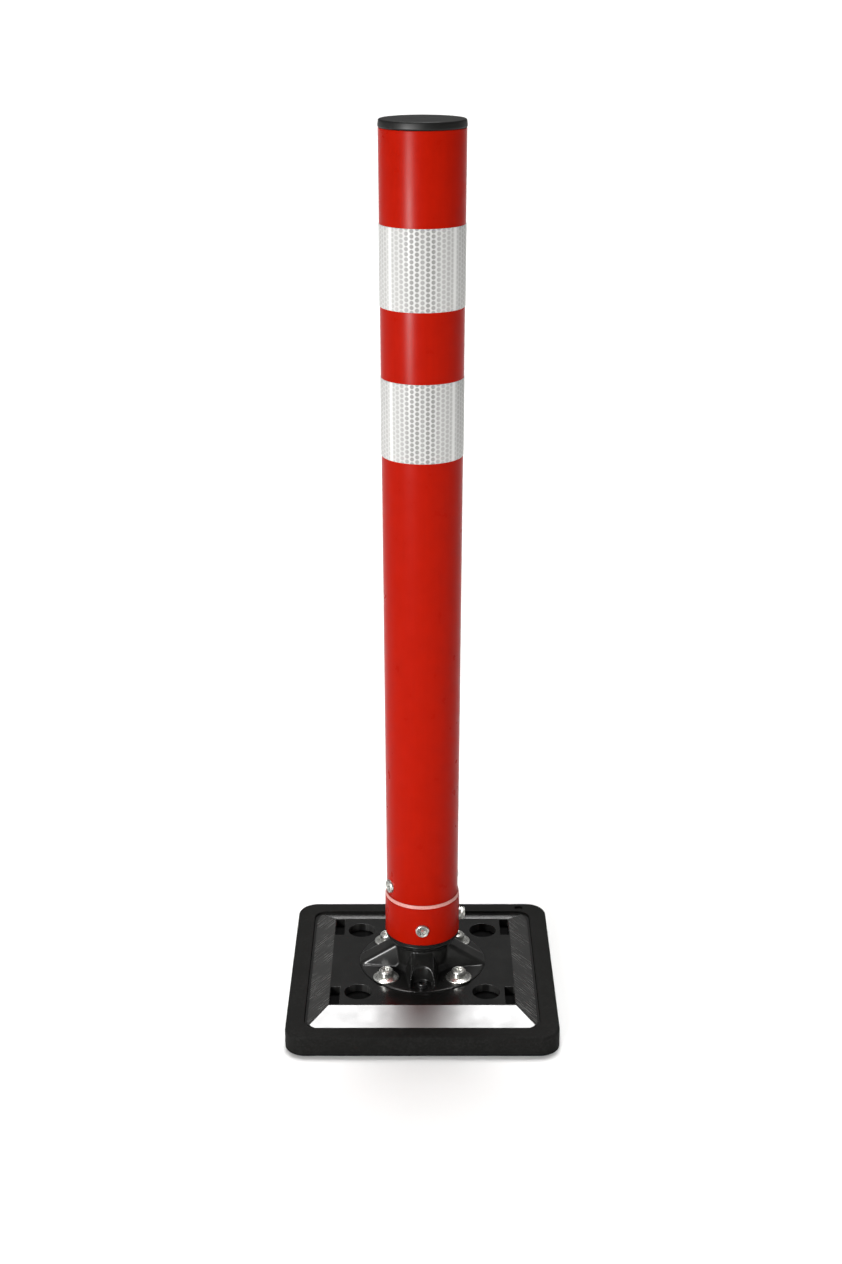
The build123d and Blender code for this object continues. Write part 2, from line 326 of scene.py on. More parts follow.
def mark_edges(mesh, slope, upright):
    """Marks as sharp, and to be rounded, the edges that bend by more than slope, or upright if vertical."""
    work = bmesh.new()
    work.from_mesh(mesh)
    weight = work.edges.layers.float.new("bevel_weight_edge")
    for edge in work.edges:
        along = (edge.verts[1].co - edge.verts[0].co).normalized()
        limit = upright if abs(along.z) > 0.9 else slope
        chosen = edge.calc_face_angle(0.0) > limit
        edge.smooth = not chosen
        edge[weight] = float(chosen)
    work.to_mesh(mesh)
    work.free()


def edged_copy(node, name, body, slot, material, edge):
    """A merged copy of a CAD node whose sharp edges get the small round that a mould leaves."""
    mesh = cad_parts[node].data.copy()
    mesh.name = name
    cleaned(mesh, flat=radians(0.2))
    mark_edges(mesh, radians(16), radians(45))
    obj = new_object(name, mesh, body, [node], slot, material)
    bevel = obj.modifiers.new("mould edge", "BEVEL")
    bevel.width = edge
    bevel.segments = 3
    bevel.limit_method = "WEIGHT"
    bevel.harden_normals = True
    bevel.use_clamp_overlap = False
    return obj


def cast_copy(node, name, body, slot, material):
    """A merged copy of a CAD node as one skin of small cells, smoothed so that every edge is filleted."""
    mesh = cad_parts[node].data.copy()
    mesh.name = name
    cleaned(mesh)
    obj = new_object(name, mesh, body, [node], slot, material)
    skin = obj.modifiers.new("skin", "REMESH")
    skin.mode = "VOXEL"
    skin.voxel_size = sizes().socket_voxel
    skin.use_smooth_shade = True
    soft = obj.modifiers.new("fillets", "SMOOTH")
    soft.factor = 0.5
    soft.iterations = sizes().socket_smooth
    return obj


# ---------------------------------------------------------------- materials


def linear(code):
    """An sRGB hex value as linear red, green, blue and full alpha."""
    srgb = np.array([int(code[i:i + 2], 16) for i in (1, 3, 5)]) / 255
    rgb = np.where(srgb <= 0.04045, srgb / 12.92, ((srgb + 0.055) / 1.055) ** 2.4)
    return (*rgb.tolist(), 1.0)


def add(tree, kind, settings=None, **inputs):
    """Adds a node, sets its settings and fills or links its inputs, which are named with _ for a space."""
    node = tree.nodes.new(kind)
    for name, value in (settings or {}).items():
        setattr(node, name, value)
    for name, value in inputs.items():
        key = int(name[1:]) if name[0] == "i" and name[1:].isdigit() else name.replace("_", " ")
        if isinstance(value, bpy.types.NodeSocket):
            tree.links.new(value, node.inputs[key])
        else:
            node.inputs[key].default_value = value
    return node


def material(name, colour, roughness, **fixed):
    """A new Principled material, its tree, its shader and its Object coordinates."""
    made = bpy.data.materials.new(name)
    made.use_nodes = True
    tree = made.node_tree
    shader = tree.nodes["Principled BSDF"]
    shader.inputs["Base Color"].default_value = linear(colour)
    shader.inputs["Roughness"].default_value = roughness
    for key, value in fixed.items():
        shader.inputs[key.replace("_", " ")].default_value = value
    place = add(tree, "ShaderNodeTexCoord").outputs["Object"]
    made.diffuse_color = linear(colour)
    return made, tree, shader, place


def noise(tree, place, period, detail=3.0, roughness=0.5):
    """Noise whose blobs are about a period across, in metres."""
    return add(tree, "ShaderNodeTexNoise", Vector=place, Scale=1 / period, Detail=detail,
               Roughness=roughness).outputs[0]


def stretched(tree, place, scale, turn=(0, 0, 0)):
    """Coordinates turned and then stretched, for patterns that run one way."""
    turned_place = add(tree, "ShaderNodeMapping", Vector=place, Rotation=turn).outputs[0]
    return add(tree, "ShaderNodeMapping", Vector=turned_place, Scale=scale).outputs[0]


def spread(tree, value, low_in, high_in, low_out, high_out):
    """Maps a range of a value to another, without going past it."""
    return add(tree, "ShaderNodeMapRange", Value=value, From_Min=low_in, From_Max=high_in,
               To_Min=low_out, To_Max=high_out).outputs[0]


def mix(tree, factor, one, two):
    """Colour between two colours or sockets."""
    return add(tree, "ShaderNodeMix", {"data_type": "RGBA"}, i0=factor, i6=one, i7=two).outputs[2]


def sums(tree, operation, *values):
    """One arithmetic step on numbers or sockets."""
    return add(tree, "ShaderNodeMath", {"operation": operation},
               **{f"i{k}": v for k, v in enumerate(values)}).outputs[0]


def bump(tree, shader, height, depth, strength=1.0):
    """Bump of a depth in metres on the shader."""
    node = add(tree, "ShaderNodeBump", Height=height, Distance=depth, Strength=strength)
    tree.links.new(node.outputs[0], shader.inputs["Normal"])


def into(tree, socket, shader, name):
    """Links a socket to one of the shader's inputs."""
    tree.links.new(socket, shader.inputs[name])


def red_plastic():
    """Polyurethane, moulded and dyed through: an even satin red with a fine orange peel and faint streaks."""
    made, tree, shader, place = material(
        "moulded_red_polyurethane", colours().red, 0.3, IOR=1.5, Specular_IOR_Level=0.035)
    streaks = noise(tree, stretched(tree, place, (1.0, 1.0, 0.04)), 2.5 * MM)
    mottle = noise(tree, place, 14 * MM, 4.0)
    tone = sums(tree, "ADD", sums(tree, "MULTIPLY", streaks, 0.4), sums(tree, "MULTIPLY", mottle, 0.6))
    factor = spread(tree, tone, 0.3, 0.7, 0.0, 1.0)
    into(tree, mix(tree, factor, linear("#A11303"), linear(colours().red)), shader, "Base Color")
    into(tree, spread(tree, mottle, 0.3, 0.7, 0.27, 0.34), shader, "Roughness")
    bump(tree, shader, noise(tree, place, 1.2 * MM, 4.0), 0.05 * MM, 0.5)
    return made


def pale_cut_and_painted_highlight():
    """The same plastic where a cutter has whitened it, with a painted highlight on top: pale pink, duller,
    with fine tool marks.
    """
    pale = colours().pale_edge_and_painted_highlight
    made, tree, shader, place = material("cut_red_polyurethane", pale, 0.5, IOR=1.5, Specular_IOR_Level=0.3)
    marks = noise(tree, place, 1.0 * MM, 3.0)
    tone = mix(tree, spread(tree, marks, 0.35, 0.7, 0.0, 1.0), linear("#CC857C"), linear(pale))
    into(tree, tone, shader, "Base Color")
    bump(tree, shader, marks, 0.05 * MM, 0.5)
    return made


def black_moulding(name, colour, low_gloss, high_gloss, grain, depth, shine):
    """Injection moulded plastic: near black, with the gloss of its mould, faint flow marks and fine dust."""
    made, tree, shader, place = material(name, colour, low_gloss, IOR=1.5, Specular_IOR_Level=shine)
    flow = noise(tree, place, 22 * MM, 4.0)
    dust = noise(tree, place, 0.9 * MM, 2.0)
    lift = spread(tree, dust, 0.62, 0.8, 0.0, 0.25)
    into(tree, mix(tree, lift, linear(colour), linear("#3C3C3B")), shader, "Base Color")
    into(tree, spread(tree, flow, 0.3, 0.7, low_gloss, high_gloss), shader, "Roughness")
    bump(tree, shader, noise(tree, place, grain, 3.0), depth, 0.6)
    return made


def scuffed_black_with_painted_side_sheen(name, shine):
    """The plate's glossy black plastic: a dusty top, slanting scuffs on the bevels at the sides, and a
    painted sheen that makes those side bevels lighter than the top.
    """
    black = colours().gloss_black
    made, tree, shader, place = material(name, black, 0.2, IOR=1.5, Specular_IOR_Level=shine)
    part = add(tree, "ShaderNodeSeparateXYZ", Vector=place)
    side = sums(tree, "ABSOLUTE", part.outputs[0])
    facing = add(tree, "ShaderNodeSeparateXYZ", Vector=add(tree, "ShaderNodeTexCoord").outputs["Normal"])
    # mask of the side bevels by their normal: it places the scuffs and the painted sheen
    side_mask_scuffs_and_painted_sheen = spread(tree, sums(tree, "ABSOLUTE", facing.outputs[0]), 0.2, 0.3, 0.0, 1.0)
    mirrored = add(tree, "ShaderNodeCombineXYZ", X=side, Y=part.outputs[1], Z=0.0).outputs[0]
    lines = noise(tree, stretched(tree, mirrored, (1.0, 0.06, 1.0), (0, 0, radians(-52))), 1.3 * MM, 3.0, 0.6)
    patches = noise(tree, place, 26 * MM, 3.0)
    lines = spread(tree, lines, 0.48, 0.7, 0.0, 1.0)
    scuff = sums(tree, "MULTIPLY", lines, spread(tree, patches, 0.4, 0.62, 0.15, 1.0))
    scuff = sums(tree, "MULTIPLY", scuff, side_mask_scuffs_and_painted_sheen)
    dust = spread(tree, noise(tree, place, 0.9 * MM, 2.0), 0.6, 0.8, 0.0, 0.3)
    # painted sheen: the side bevels get a lighter base colour than the top, in place of the light they catch
    base_with_painted_side_sheen = mix(tree, side_mask_scuffs_and_painted_sheen, linear("#131312"), linear("#2E2E2D"))
    into(tree, mix(tree, sums(tree, "MAXIMUM", scuff, dust), base_with_painted_side_sheen, linear("#5C5C5A")), shader, "Base Color")
    on_front = spread(tree, sums(tree, "MULTIPLY", facing.outputs[1], -1.0), 0.2, 0.3, 0.0, 1.0)
    gloss = spread(tree, noise(tree, place, 18 * MM, 4.0), 0.3, 0.7, 0.15, 0.22)
    gloss = sums(tree, "ADD", gloss, sums(tree, "MULTIPLY", on_front, 0.13))
    into(tree, sums(tree, "ADD", gloss, sums(tree, "MULTIPLY", scuff, 0.25)), shader, "Roughness")
    relief = sums(tree, "ADD", scuff, sums(tree, "MULTIPLY", noise(tree, place, 1.0 * MM), 0.3))
    bump(tree, shader, relief, 0.06 * MM, 0.6)
    return made


def rubber():
    """Recycled rubber granules pressed in a mould: matt, crumbs of differing tone, painted near black under
    the plate as shade for its holes and slots.
    """
    made, tree, shader, place = material(
        "moulded_recycled_rubber", colours().rubber, 0.62, IOR=1.52, Specular_IOR_Level=0.03)
    crumbs = add(tree, "ShaderNodeTexVoronoi", Vector=place, Scale=1 / (2.2 * MM)).outputs["Color"]
    tone = add(tree, "ShaderNodeRGBToBW", Color=crumbs).outputs[0]
    clouds = noise(tree, place, 30 * MM, 5.0)
    crumb_share = spread(tree, tone, 0.3, 1.0, 0.0, 0.6)
    factor = sums(tree, "MULTIPLY", crumb_share, spread(tree, clouds, 0.3, 0.7, 0.3, 1.0))
    part = add(tree, "ShaderNodeSeparateXYZ", Vector=place)
    across = sums(tree, "MAXIMUM", *[sums(tree, "ABSOLUTE", part.outputs[k]) for k in (0, 1)])
    # painted shade: inside the plate's outline the rubber is painted near black, so the plate's holes and
    # slots look shaded
    painted_shade_under_plate = spread(tree, across, 0.105, 0.115, 1.0, 0.0)
    open_tone = mix(tree, factor, linear(colours().rubber), linear("#2B2B2A"))
    into(tree, mix(tree, painted_shade_under_plate, open_tone, linear("#050505")), shader, "Base Color")
    into(tree, spread(tree, tone, 0.0, 1.0, 0.52, 0.72), shader, "Roughness")
    lumps = sums(tree, "MULTIPLY", noise(tree, place, 3 * MM), 0.6)
    grain = sums(tree, "ADD", noise(tree, place, 0.8 * MM, 3.0), lumps)
    bump(tree, shader, grain, 0.12 * MM, 0.7)
    return made


def plated_steel(name, colour, roughness, grain=0.5 * MM):
    """Steel under bright zinc: a metal with a slightly cloudy, finely grained shine."""
    made, tree, shader, place = material(name, colour, roughness, Metallic=1.0)
    clouds = noise(tree, place, 3 * MM, 4.0)
    tone = mix(tree, spread(tree, clouds, 0.3, 0.7, 0.0, 1.0), linear(colour), linear("#A9A9A4"))
    into(tree, tone, shader, "Base Color")
    into(tree, spread(tree, clouds, 0.3, 0.7, roughness, roughness + 0.14), shader, "Roughness")
    bump(tree, shader, noise(tree, place, grain, 2.0), 0.03 * MM, 0.5)
    return made


def sheeting():
    """White retroreflective sheeting: a honeycomb of sealed cells, each with a greyer round of beads.

    The band's own UV map counts cells: a whole number across is a pair of columns, and one up is a row.
    The rounds are painted greyest at the front and the back, a painted shade that fades towards the sides,
    and they almost vanish under a painted highlight at four upright lines between them.
    """
    made, tree, shader, _ = material(
        "honeycomb_reflective_sheeting", colours().sheeting, 0.4, IOR=1.49, Specular_IOR_Level=0.12)
    uv = add(tree, "ShaderNodeUVMap", {"uv_map": "cells"}).outputs[0]
    parts = add(tree, "ShaderNodeSeparateXYZ", Vector=uv)
    pairs = sizes().cell_columns / 2
    wide = tau * outer("reflective_band_upper") / pairs
    rings = []
    for shift in (0.0, 0.5):
        u = sums(tree, "SUBTRACT", sums(tree, "FRACT", sums(tree, "ADD", parts.outputs[0], shift)), 0.5)
        v = sums(tree, "SUBTRACT", sums(tree, "FRACT", sums(tree, "ADD", parts.outputs[1], shift)), 0.5)
        x = sums(tree, "MULTIPLY", u, wide)
        y = sums(tree, "MULTIPLY", v, sizes().cell_pitch)
        squares = [sums(tree, "POWER", side, 2.0) for side in (x, y)]
        rings.append(sums(tree, "SQRT", sums(tree, "ADD", *squares)))
    nearest = sums(tree, "MINIMUM", *rings)
    dot = sizes().cell_dot
    inside = spread(tree, nearest, dot * 0.8, dot * 1.1, 1.0, 0.0)
    broad = add(tree, "ShaderNodeMapping", Vector=uv, Scale=(0.9, 0.03, 1.0)).outputs[0]
    streak = add(tree, "ShaderNodeTexNoise", Vector=broad, Scale=1.0, Detail=1.0).outputs[0]
    turn = sums(tree, "FRACT", sums(tree, "MULTIPLY", sums(tree, "DIVIDE", parts.outputs[0], pairs), 2.0))
    from_front = sums(tree, "DIVIDE", sums(tree, "MINIMUM", turn, sums(tree, "SUBTRACT", 1.0, turn)), 2.0)
    # painted shade: the grey of the rounds is strongest facing front and back and fades towards the sides
    painted_facing_shade = spread(tree, from_front, 0.035, 0.1, 1.0, 0.35)
    depth = sums(tree, "MULTIPLY", painted_facing_shade, spread(tree, streak, 0.4, 0.6, 1.0, 0.7))
    grey = mix(tree, depth, linear("#C2C1BF"), linear("#8D8C8A"))
    # painted highlight: four upright pale lines at a set angle from the front, standing in for reflections in
    # the sheeting
    painted_highlight_line_distance = sums(tree, "ABSOLUTE", sums(tree, "SUBTRACT", from_front, 0.132))
    clear = spread(tree, painted_highlight_line_distance, 0.004, 0.014, 0.85, 0.0)
    cells = mix(tree, inside, linear(colours().sheeting), grey)
    into(tree, mix(tree, clear, cells, linear("#E4E4E2")), shader, "Base Color")
    into(tree, spread(tree, inside, 0.0, 1.0, 0.4, 0.55), shader, "Roughness")
    bump(tree, shader, inside, 0.08 * MM, 0.6)
    return made


def plain(name, colour, roughness, metallic=0.0, grain=1.0 * MM, depth=0.03 * MM):
    """An even finish with a fine grain, for parts inside the post."""
    made, tree, shader, place = material(name, colour, roughness, Metallic=metallic)
    soft = noise(tree, place, 6 * MM, 3.0)
    into(tree, spread(tree, soft, 0.3, 0.7, roughness - 0.05, roughness + 0.08), shader, "Roughness")
    bump(tree, shader, noise(tree, place, grain, 2.0), depth, 0.5)
    return made


finishes = {}


def finish(name):
    """The material of a name, made once."""
    gloss, satin, zinc = colours().gloss_black, colours().satin_black, colours().zinc
    moulding = ("gloss_black_polypropylene", gloss, 0.26, 0.36, 1.2 * MM, 0.02 * MM, 0.3)
    lid = ("satin_black_polypropylene", satin, 0.42, 0.54, 0.5 * MM, 0.05 * MM, 0.2)
    makers = {
        "red": (red_plastic,),
        "pale cut with painted highlight": (pale_cut_and_painted_highlight,),
        "rubber": (rubber,),
        "plate black": (scuffed_black_with_painted_side_sheen, "gloss_black_polypropylene_plate", 0.55),
        "polished black": (scuffed_black_with_painted_side_sheen, "polished_black_polypropylene", 1.0),
        "gloss black": (black_moulding, *moulding),
        "satin black": (black_moulding, *lid),
        "sheeting": (sheeting,),
        "zinc": (plated_steel, "bright_zinc_plated_steel", zinc, 0.24),
        "dull zinc": (plated_steel, "dull_zinc_plated_steel", "#8A8A86", 0.42),
        "black steel": (plain, "black_oxide_steel", "#1A1A1A", 0.3),
        "spring steel": (plain, "oiled_spring_steel", "#6E6E70", 0.35, 1.0),
        "strand": (plain, "galvanised_wire_strand", "#B9B9B6", 0.35, 1.0, 0.4 * MM),
        "nylon": (plain, "moulded_natural_nylon", "#DAD6C8", 0.5),
    }
    if name not in finishes:
        maker, *values = makers[name]
        finishes[name] = maker(*values)
    return finishes[name]


def dress(node, name):
    """Gives a CAD node's own mesh a finish."""
    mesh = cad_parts[node].data
    mesh.materials.clear()
    mesh.materials.append(finish(name))


# ---------------------------------------------------------------- pieces


class POST_OT_base(bpy.types.Operator):
    """Rubber base, plate, socket and seat ring"""

    bl_idname = "post.base"
    bl_label = "Base, plate and socket"

    def execute(self, context):
        soft_edge, edge = sizes().rubber_edge, sizes().mould_edge
        edged_copy("rubber_base", "rubber_slab", "base", "moulded_rubber", finish("rubber"), soft_edge)
        black = finish("plate black")
        plate = edged_copy("base_plate", "bevelled_plate", "base", "gloss_black_plastic", black, edge)
        plate.data.materials.append(finish("polished black"))
        for face in plate.data.polygons:
            face.material_index = int(face.normal.y < -0.2 and face.normal.z > 0.5)
        cast_copy("post_socket", "ribbed_socket", "base", "gloss_black_plastic", finish("gloss black"))
        satin = finish("satin black")
        edged_copy("seat_ring", "turned_seat_ring", "seat", "satin_black_plastic", satin, edge)
        return {"FINISHED"}


def tube_shape():
    """Open tube that widens evenly: a closed profile of two walls and two rounded rims, turned about Z."""
    bottom, top = low("post_tube"), high("post_tube")
    foot, head = radii_at("post_tube", bottom)[1], radii_at("post_tube", top)[1]
    wall, rim = sizes().wall, 0.6 * MM
    corners = [(foot, bottom, rim), (head, top, rim), (head - wall, top, rim), (foot - wall, bottom, rim)]
    return turned(ring_profile(corners, 4), 160, close=True)


def collar_shape():
    """Short sleeve: a closed profile with a rounded lip, a thin groove and a chamfer, turned about Z."""
    bottom, top = low("collar"), high("collar")
    outside, inside = radii_at("collar", (bottom + top) / 2, 30 * MM)[1], radii_at("collar", top)[0]
    chamfer, groove = sizes().chamfer, 0.7 * MM
    corners = [
        (inside, bottom, 0.1 * MM),
        (outside - 0.9 * MM, bottom, 0.2 * MM),
        (outside, bottom + 1.1 * MM, 0.4 * MM),
        (outside, top - chamfer - 1.0 * MM, 0.15 * MM),
        (outside - groove, top - chamfer - 0.7 * MM, 0.05 * MM),
        (outside - groove, top - chamfer - 0.1 * MM, 0.05 * MM),
        (outside - 0.1 * MM, top - chamfer, 0.1 * MM),
        (inside + 0.9 * MM, top, 0.15 * MM),
        (inside + 0.6 * MM, top, 0.1 * MM),
        (inside + 0.6 * MM, top - 5 * MM, 0.1 * MM),
        (inside, top - 5.5 * MM, 0.1 * MM),
    ]
    return turned(ring_profile(corners, 3), 160, close=True)


def cap_shape():
    """Low lid: a faintly crowned top, a rounded shoulder, an undercut edge and a skirt inside the tube."""
    seam, top = high("post_tube"), high("top_cap")
    radius = outer("top_cap")
    inside, skirt = radii_at("top_cap", low("top_cap"))
    corners = [
        (0, top, 0),
        (radius - 0.6 * MM, top - 0.1 * MM, 1.8 * MM),
        (radius, seam + 1.4 * MM, 1.2 * MM),
        (radius - 1.0 * MM, seam + 0.15 * MM, 0.3 * MM),
        (skirt, seam + 0.15 * MM, 0.2 * MM),
        (skirt, low("top_cap"), 0.4 * MM),
        (inside, low("top_cap"), 0.4 * MM),
        (inside, seam + 1.5 * MM, 1.0 * MM),
        (0, seam + 1.5 * MM, 0),
    ]
    return turned(rounded(corners), 144)


class POST_OT_tube(bpy.types.Operator):
    """Tube, collar and cap"""

    bl_idname = "post.tube"
    bl_label = "Tube, collar and cap"

    def execute(self, context):
        piece("red_tube", tube_shape(), "post", ["post_tube"], "red_plastic", finish("red"))
        reds = finish("red"), finish("pale cut with painted highlight")
        collar = piece("red_collar", collar_shape(), "post", ["collar"], "red_plastic", *reds)
        # the chamfer's faces take the pale material: partly the cut edge's own colour, partly a painted
        # highlight
        cut = high("collar") - sizes().chamfer - 0.1 * MM
        for face in collar.data.polygons:
            face.material_index = int(face.center.z > cut)
        satin = finish("satin black")
        piece("lidded_cap", cap_shape(), "post", ["top_cap"], "satin_black_plastic", satin)
        dress("foot_hub", "nylon")
        return {"FINISHED"}


def band(node):
    """Thin sleeve of sheeting: a closed profile turned round the tube, with a UV map that counts cells."""
    bottom, top = low(node), high(node)
    inner_foot, foot = radii_at(node, bottom)
    inner_head, head = radii_at(node, top)
    edge, inner_edge = 0.15 * MM, 0.05 * MM
    corners = [
        (inner_foot, bottom, inner_edge),
        (foot, bottom, edge),
        (head, top, edge),
        (inner_head, top, inner_edge),
    ]
    shape = turned(ring_profile(corners, 3), 192, close=True)
    obj = piece(node + "_sheeting", shape, "post", [node], "reflective_sheeting", finish("sheeting"))
    mesh = obj.data
    layer = mesh.uv_layers.new(name="cells")
    corner_vertex = np.empty(len(mesh.loops), np.int64)
    mesh.loops.foreach_get("vertex_index", corner_vertex)
    co = vertices_of(mesh)[corner_vertex]
    turn = np.arctan2(co[:, 0], -co[:, 1]) / tau % 1.0
    face_of = np.repeat(np.arange(len(mesh.polygons)), [p.loop_total for p in mesh.polygons])
    furthest = np.full(len(mesh.polygons), -1.0)
    np.maximum.at(furthest, face_of, turn)
    turn = np.where(furthest[face_of] - turn > 0.5, turn + 1.0, turn)
    u = turn * sizes().cell_columns / 2
    v = (co[:, 2] - bottom) / sizes().cell_pitch
    layer.data.foreach_set("uv", np.stack([u, v], -1).ravel())


class POST_OT_bands(bpy.types.Operator):
    """Reflective bands"""

    bl_idname = "post.bands"
    bl_label = "Reflective bands"

    def execute(self, context):
        band("reflective_band_upper")
        band("reflective_band_lower")
        return {"FINISHED"}


def dome_head():
    """Button head: a rounded rim, a flat face and a six-lobed key recess, turned about its own z."""
    radius, height = sizes().head_radius, 3.2 * MM
    key = radius * 0.4
    corners = [
        (radius * 0.9, -1.0 * MM, 0),
        (radius, 0.2 * MM, 0.3 * MM),
        (radius * 0.98, 1.5 * MM, 0.6 * MM),
        (radius * 0.88, height - 0.1 * MM, 0.9 * MM),
        (radius * FACE, height, 0.5 * MM),
        (radius * FACE - 0.3 * MM, height - 0.5 * MM, 0.2 * MM),
        (key * 1.2, height - 0.6 * MM, 0.15 * MM),
        (key, height - 2.2 * MM, 0.1 * MM),
        (0.6 * MM, height - 2.4 * MM, 0.1 * MM),
        (0, height - 1.6 * MM, 0),
    ]
    return turned(rounded(corners, 4), 72, lobed_below(key * 1.3, 6, 0.2))


def shank(radius, bottom, top):
    """Plain round shank with a chamfered tip, closed at both ends."""
    tip = [(0, bottom), (radius * 0.75, bottom), (radius, bottom + radius * 0.4)]
    return turned([*tip, (radius, top), (0, top)], 32)


def hexagon_nut(flats, bottom, top, hole):
    """Hexagon nut: a closed profile whose outside follows a hexagon, its corners turned down to a cone."""
    corner = flats / 2 / cos(pi / 6)
    fall = 0.6 * MM
    face = flats * 0.48
    lower = [(hole, bottom), (face, bottom), (corner, bottom + fall)]
    profile = [*lower, (corner, top - fall), (face, top), (hole, top)]
    return turned(profile, 72, hexagon_above(flats * 0.49), close=True)


def anchor_bolt_shape():
    """Round-headed bolt: a domed rosette face with a key recess above a plain barrel, on its shank."""
    seat, top = high("anchor_washers"), high("anchor_bolts")
    radius = sizes().bolt_head
    corners = [
        (0, seat - 0.2 * MM, 0),
        (radius * 0.92, seat - 0.2 * MM, 0.2 * MM),
        (radius, seat + 0.6 * MM, 0.4 * MM),
        (radius * 0.98, top - 1.4 * MM, 0.9 * MM),
        (radius * 0.84, top, 0.6 * MM),
        (radius * FACE, top - 0.1 * MM, 0.3 * MM),
        (radius * FACE - 0.5 * MM, top - 0.9 * MM, 0.3 * MM),
        (radius * 0.44, top - 0.6 * MM, 0.4 * MM),
        (radius * 0.34, top - 2.6 * MM, 0.2 * MM),
        (0, top - 2.8 * MM, 0),
    ]
    head = turned(rounded(corners, 4), 72, lobed_below(radius * 0.48, 6, 0.18))
    return joined(head, shank(4 * MM, low("anchor_bolts"), seat))


def cup_washer_shape():
    """Dished washer: a closed profile with a rolled outer rim, a concave flare and a raised collar."""
    floor, top = low("anchor_washers"), high("anchor_washers")
    inside, radius = 4.3 * MM, sizes().washer
    corners = [
        (inside, floor + 1.4 * MM, 0.1 * MM),
        (radius * 0.6, floor + 1.2 * MM, 1.0 * MM),
        (radius * 0.86, floor + 0.05 * MM, 0.4 * MM),
        (radius, floor + 0.05 * MM, 0.5 * MM),
        (radius, floor + 1.3 * MM, 0.6 * MM),
        (radius * 0.88, floor + 1.5 * MM, 1.2 * MM),
        (radius * 0.66, top - 0.4 * MM, 0.8 * MM),
        (radius * 0.62, top, 0.3 * MM),
        (inside, top, 0.1 * MM),
    ]
    return turned(ring_profile(corners, 4), 72, close=True)


def lock_bolt_shape():
    """Hexagon bolt with a domed head, its z along the bolt and its seat at zero."""
    seat, top = 1.6 * MM, 7.0 * MM
    corner = 6.5 * MM / cos(pi / 6)
    corners = [
        (0, seat, 0),
        (corner * 0.86, seat, 0.1 * MM),
        (corner, seat + 0.6 * MM, 0.3 * MM),
        (corner, top - 2.2 * MM, 0.5 * MM),
        (corner * 0.8, top - 0.5 * MM, 1.5 * MM),
        (0, top, 0),
    ]
    head = turned(rounded(corners, 4), 72, hexagon_above(corner * 0.87))
    return joined(head, shank(4 * MM, -20 * MM, seat))


def face_second(obj, axes, reach, start):
    """Gives an object's second material to the faces close to one of the axes and past a distance along it.

    An axis is a point and a unit direction: a face counts if its middle is nearer to the line than reach,
    and further along the line than start.
    """
    centres = np.empty(len(obj.data.polygons) * 3)
    obj.data.polygons.foreach_get("center", centres)
    centres = centres.reshape(-1, 3)
    chosen = np.zeros(len(centres), bool)
    for point, direction in axes:
        away = centres - point
        along = away @ direction
        off = np.linalg.norm(away - along[:, None] * direction, axis=1)
        chosen |= (off < reach) & (along > start)
    obj.data.polygons.foreach_set("material_index", chosen.astype(np.int32))


def bearing_of(node):
    """Bearing from the front of the half of a pair of screws that is on the -X side."""
    points = vertices_of(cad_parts[node].data)
    middle = points[points[:, 0] < 0].mean(axis=0)
    return atan2(middle[0], -middle[1])


def screw_axes(height, bearings):
    """Axes that run out of the post at a height, one at each bearing."""
    return [(np.array([0.0, 0.0, height]), np.array([sin(b), -cos(b), 0.0])) for b in bearings]


class POST_OT_fasteners(bpy.types.Operator):
    """Bolts, washers, nuts and screws"""

    bl_idname = "post.fasteners"
    bl_label = "Fasteners"

    def execute(self, context):
        zinc, dull, slot = finish("zinc"), finish("dull zinc"), "zinc_steel"
        diagonals = [pi / 4 + k * pi / 2 for k in range(4)]
        ring = (outer("anchor_washers") - sizes().washer) * sqrt(2)
        bolts = ring_of(anchor_bolt_shape(), ring, diagonals)
        bolts = piece("rosette_bolts", bolts, "base", ["anchor_bolts"], slot, zinc, dull)
        up = np.array([0.0, 0.0, 1.0])
        upright = [(np.array([ring * cos(a), ring * sin(a), 0.0]), up) for a in diagonals]
        face_second(bolts, upright, sizes().bolt_head * FACE, high("anchor_bolts") - 3 * MM)
        washers = ring_of(cup_washer_shape(), ring, diagonals)
        piece("cup_washers", washers, "base", ["anchor_washers"], slot, zinc)
        nut = hexagon_nut(13 * MM, low("anchor_nuts"), high("anchor_nuts"), 3.6 * MM)
        piece("hexagon_nuts", ring_of(nut, ring, diagonals), "base", ["anchor_nuts"], slot, zinc)
        dome = joined(dome_head(), shank(3 * MM, -20 * MM, 0))
        left = bearing_of("tube_screws")
        pairs = [
            ("collar_screws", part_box("collar_screws")[1].y - 3.8 * MM, (0, pi)),
            ("tube_screws", radii_at("post_tube", low("post_tube"))[1] - 0.3 * MM, (left, left + pi)),
        ]
        for node, seat, bearings in pairs:
            height = (low(node) + high(node)) / 2
            screws = joined(*[out_of_post(dome, seat, height, b) for b in bearings])
            screws = piece(node + "_domed", screws, "post", [node], slot, zinc, dull)
            face_second(screws, screw_axes(height, bearings), sizes().head_radius * FACE, seat + 0.5 * MM)
        height = (low("lock_bolt") + high("lock_bolt")) / 2
        lock = out_of_post(lock_bolt_shape(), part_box("lock_washer")[0].x, height, pi / 2)
        piece("lock_hexagon_bolt", lock, "post", ["lock_bolt"], slot, zinc)
        for node in ("nut_washers", "cable_anchor_plate", "lower_cable_stop", "lock_washer",
                     "spring_seat_washer", "spring_retainer", "cable_stud", "tension_nut", "jam_nut"):
            dress(node, "zinc")
        dress("pocket_screws", "black steel")
        return {"FINISHED"}


